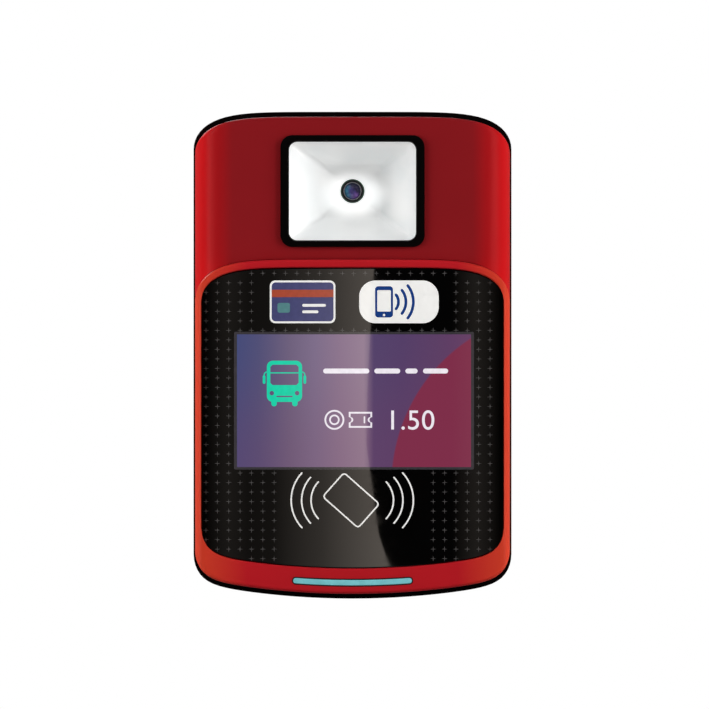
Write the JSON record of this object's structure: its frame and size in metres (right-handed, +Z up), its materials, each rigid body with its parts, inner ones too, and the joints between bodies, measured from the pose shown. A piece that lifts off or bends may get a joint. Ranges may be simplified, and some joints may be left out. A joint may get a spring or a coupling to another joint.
{
  "type": "ticket validator",
  "caption": "Wall-mounted fare validator: black and red two-shell housing with code scanner funnel, black glass screen and light bar, on a keyhole bracket.",
  "frame": {"origin": "centre of the wall bracket's hole pattern, on the wall face", "axes": "+Z up, +Y into the wall, -Y out of the front of the device, +X to the right as seen from the front"},
  "size_m": [0.128, 0.071, 0.196],
  "materials": {
    "bracket_coat": "fine-textured black powder coat",
    "rubber": "matte",
    "brass": "turned",
    "black_case": "satin, finely textured",
    "deep_red": "smooth satin gloss",
    "bright_red": "smooth satin gloss",
    "steel": "zinc plated",
    "black_plastic": "moulded",
    "label": "blank foil label",
    "screen_glass": "polished, printed black behind",
    "adhesive": "foam tape",
    "picture": "lit display panel",
    "tinned_steel": "tinned sheet",
    "flex": "flexible circuit film",
    "board_green": "circuit board lacquer",
    "copper": "copper track",
    "ferrite": "ferrite sheet",
    "clear_pane": "clear, anti-reflective",
    "white_reflector": "smooth white",
    "lens_black": "black anodised",
    "lens_metal": "turned",
    "lens_glass": "coated lens",
    "lamp_white": "white lamp and board",
    "cyan_bar": "translucent lit bar",
    "chip_black": "moulded epoxy",
    "ivory": "nylon connector",
    "cell_steel": "coin cell",
    "button_red": "moulded",
    "card_white": "card plastic",
    "card_blue": "card plastic",
    "cone_paper": "coated paper",
    "nickel": "nickel plated",
    "lock_steel": "machined"
  },
  "bodies": {
    "bracket": {"wall_bracket": "bracket_coat", "bracket_pads": "rubber", "earth_screw": "brass"},
    "housing": {"rear_shell": "black_case", "front_shell": "deep_red", "screen_bezel": "bright_red", "shell_gasket": "rubber", "case_screws": "steel", "case_inserts": "brass", "bezel_screws": "steel", "mounting_studs": "steel", "stud_nuts": "steel", "vent_plug": "black_plastic", "label_plate": "label", "front_glass": "screen_glass", "glass_adhesive": "adhesive", "lcd_panel": "picture", "lcd_frame": "tinned_steel", "display_tray": "black_plastic", "display_flex": "flex", "antenna_board": "board_green", "antenna_coil": "copper", "ferrite_sheet": "ferrite", "scanner_frame": "black_case", "scanner_window": "clear_pane", "window_seal": "rubber", "reflector": "white_reflector", "lens_barrel": "lens_black", "lens_ring": "lens_metal", "lens_glass": "lens_glass", "scanner_board": "board_green", "scanner_leds": "lamp_white", "scanner_bracket": "tinned_steel", "scanner_screws": "steel", "light_bar": "cyan_bar", "light_seal": "rubber", "light_board": "lamp_white", "main_board": "board_green", "board_screws": "steel", "board_chips": "chip_black", "shield_cans": "tinned_steel", "modem_module": "tinned_steel", "board_connectors": "ivory", "clock_cell": "cell_steel", "sim_socket": "tinned_steel", "sam_socket": "tinned_steel", "service_port": "tinned_steel", "reset_switch": "chip_black", "speaker_frame": "black_plastic", "connector_shell": "nickel", "connector_core": "chip_black", "lock_body": "nickel", "hinge_pin": "steel"},
    "lock": {"lock_plug": "lock_steel"},
    "door": {"service_door": "black_case"},
    "catch": {"door_catch": "lock_steel"},
    "sim_card": {"sim_card": "card_white"},
    "sam_card": {"sam_card": "card_blue"},
    "reset_button": {"reset_button": "button_red"},
    "speaker_cone": {"speaker_cone": "cone_paper"}
  },
  "joints": [
    {"name": "bracket_slide", "type": "slide", "parent": "bracket", "child": "housing", "axis": [0, 0, 1], "range_m": [0, 0.01]},
    {"name": "lock_turn", "type": "hinge", "parent": "housing", "child": "lock", "pos_m": [0, -0.024, -0.0817], "axis": [0, 0, 1], "range_deg": [0, 90]},
    {"name": "door_hinge", "type": "hinge", "parent": "housing", "child": "door", "pos_m": [-0.0619, -0.0255, -0.0232], "axis": [0, -1, 0], "range_deg": [0, 90]},
    {"name": "catch_turn", "type": "hinge", "parent": "door", "child": "catch", "pos_m": [-0.0632, -0.0255, 0.0335], "axis": [1, 0, 0], "range_deg": [0, 90]},
    {"name": "sim_slide", "type": "slide", "parent": "housing", "child": "sim_card", "axis": [-1, 0, 0], "range_m": [0, 0.008]},
    {"name": "sam_slide", "type": "slide", "parent": "housing", "child": "sam_card", "axis": [-1, 0, 0], "range_m": [0, 0.008]},
    {"name": "reset_press", "type": "slide", "parent": "housing", "child": "reset_button", "axis": [1, 0, 0], "range_m": [0, 0.0008], "stiffness_N_per_m": 300},
    {"name": "cone_move", "type": "slide", "parent": "housing", "child": "speaker_cone", "axis": [1, 0, 0], "range_m": [-0.0005, 0.0005], "stiffness_N_per_m": 800}
  ]
}
